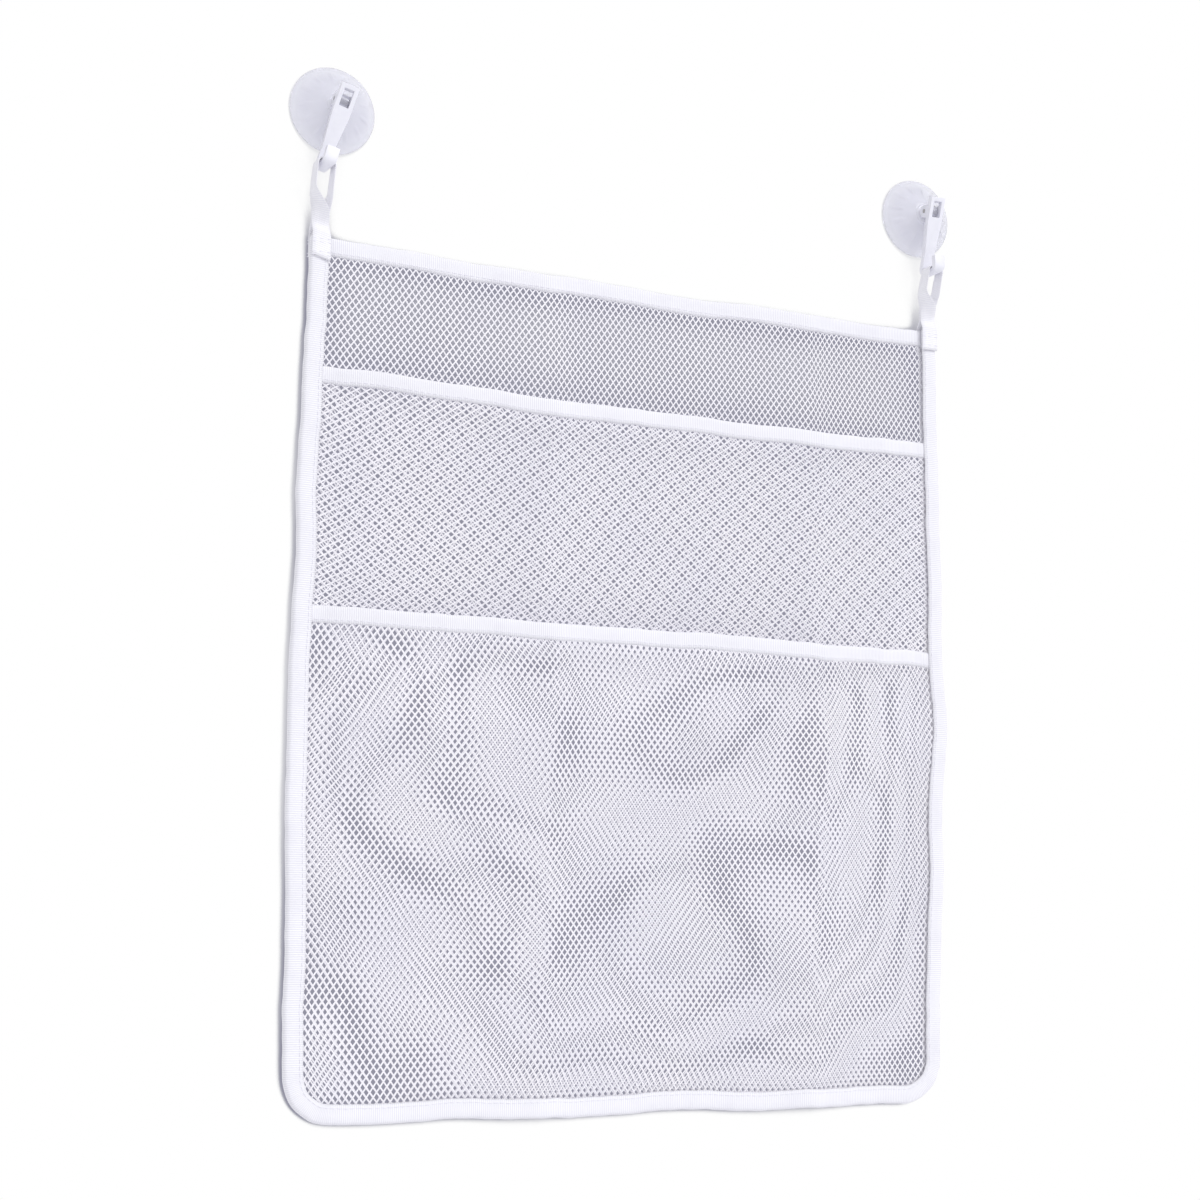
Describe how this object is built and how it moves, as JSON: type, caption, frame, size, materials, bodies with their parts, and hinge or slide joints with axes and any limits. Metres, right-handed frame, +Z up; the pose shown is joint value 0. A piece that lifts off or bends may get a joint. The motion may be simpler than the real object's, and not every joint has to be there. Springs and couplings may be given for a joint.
{
  "type": "hanging mesh bath toy organizer",
  "caption": "Flat mesh panel with two full-width net pockets, bound in tape and hung by tape loops from suction-cup lever hooks on a wall.",
  "frame": {"origin": "on the wall plane that the cups stick to, midway between the two cups' centres", "axes": "+X to the right seen from the front, +Y into the wall, +Z up; the pockets face -Y"},
  "size_m": [0.373, 0.0223, 0.486],
  "materials": {
    "soft_vinyl": "clear glossy soft vinyl",
    "hook_plastic": "moulded white",
    "pin_steel": "plain drawn wire",
    "tape_cloth": "ribbed woven tape",
    "net_cloth": "open warp-knit net"
  },
  "bodies": {
    "wall_hangers": {"left_suction_cup": "soft_vinyl", "right_suction_cup": "soft_vinyl", "left_hook_pin": "pin_steel", "right_hook_pin": "pin_steel"},
    "left_lever": {"left_hook": "hook_plastic"},
    "right_lever": {"right_hook": "hook_plastic"},
    "loops": {"left_loop": "tape_cloth", "right_loop": "tape_cloth"},
    "panel": {"back_net": "net_cloth", "upper_pocket_net": "net_cloth", "lower_pocket_net": "net_cloth", "top_binding": "tape_cloth", "upper_pocket_binding": "tape_cloth", "lower_pocket_binding": "tape_cloth", "left_side_binding": "tape_cloth", "right_side_binding": "tape_cloth", "left_corner_binding": "tape_cloth", "right_corner_binding": "tape_cloth", "bottom_binding": "tape_cloth"}
  },
  "joints": [
    {"name": "left_lever_tip", "type": "hinge", "parent": "wall_hangers", "child": "left_lever", "pos_m": [-0.1655, -0.0144, 0], "axis": [-0.9744, 0, 0.225], "range_deg": [0, 65], "deforming": ["left_loop", "right_loop"]},
    {"name": "right_lever_tip", "type": "hinge", "parent": "wall_hangers", "child": "right_lever", "pos_m": [0.1655, -0.0144, 0], "axis": [-0.9994, 0, -0.0349], "range_deg": [0, 65], "deforming": ["left_loop", "right_loop"]},
    {"name": "loops_lift", "type": "slide", "parent": "wall_hangers", "child": "loops", "axis": [0, -0.3338, 0.9426], "range_m": [0, 0.012], "deforming": ["left_loop", "right_loop"]},
    {"name": "panel_swing", "type": "hinge", "parent": "loops", "child": "panel", "pos_m": [0, -0.00355, -0.062], "axis": [-1, 0, 0], "range_deg": [0, 80], "deforming": ["left_loop", "right_loop"]}
  ]
}
